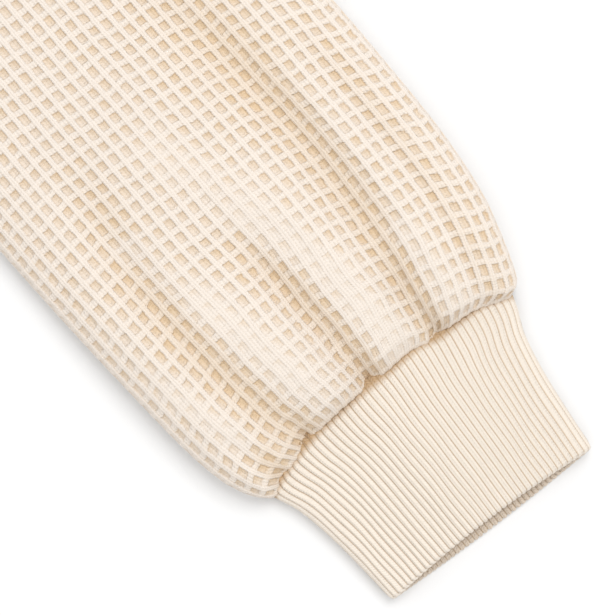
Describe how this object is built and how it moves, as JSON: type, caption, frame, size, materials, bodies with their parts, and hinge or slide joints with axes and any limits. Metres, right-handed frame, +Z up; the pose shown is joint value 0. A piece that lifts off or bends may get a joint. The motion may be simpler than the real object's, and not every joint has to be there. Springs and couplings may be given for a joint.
{
  "type": "crew neck sweater",
  "caption": "Relaxed crew neck sweater in cream waffle knit, laid flat, with full sleeves gathered into ribbed cuffs, ribbed hem and neckband.",
  "frame": {"origin": "centre of the laid garment's outline, on the surface it lies on", "axes": "+X across the garment to the wearer's left, +Y from hem to neck, +Z up, from back to front"},
  "size_m": [1.2338, 0.638, 0.0246],
  "materials": {
    "waffle_knit": "soft matte cotton knit with square cells",
    "rib_knit": "soft matte fine rib knit"
  },
  "bodies": {
    "root": {"front_panel": "waffle_knit", "back_panel": "waffle_knit", "sleeve_left": "waffle_knit", "sleeve_right": "waffle_knit", "cuff_left": "rib_knit", "cuff_right": "rib_knit", "hem_band": "rib_knit", "neckband": "rib_knit"}
  },
  "joints": []
}
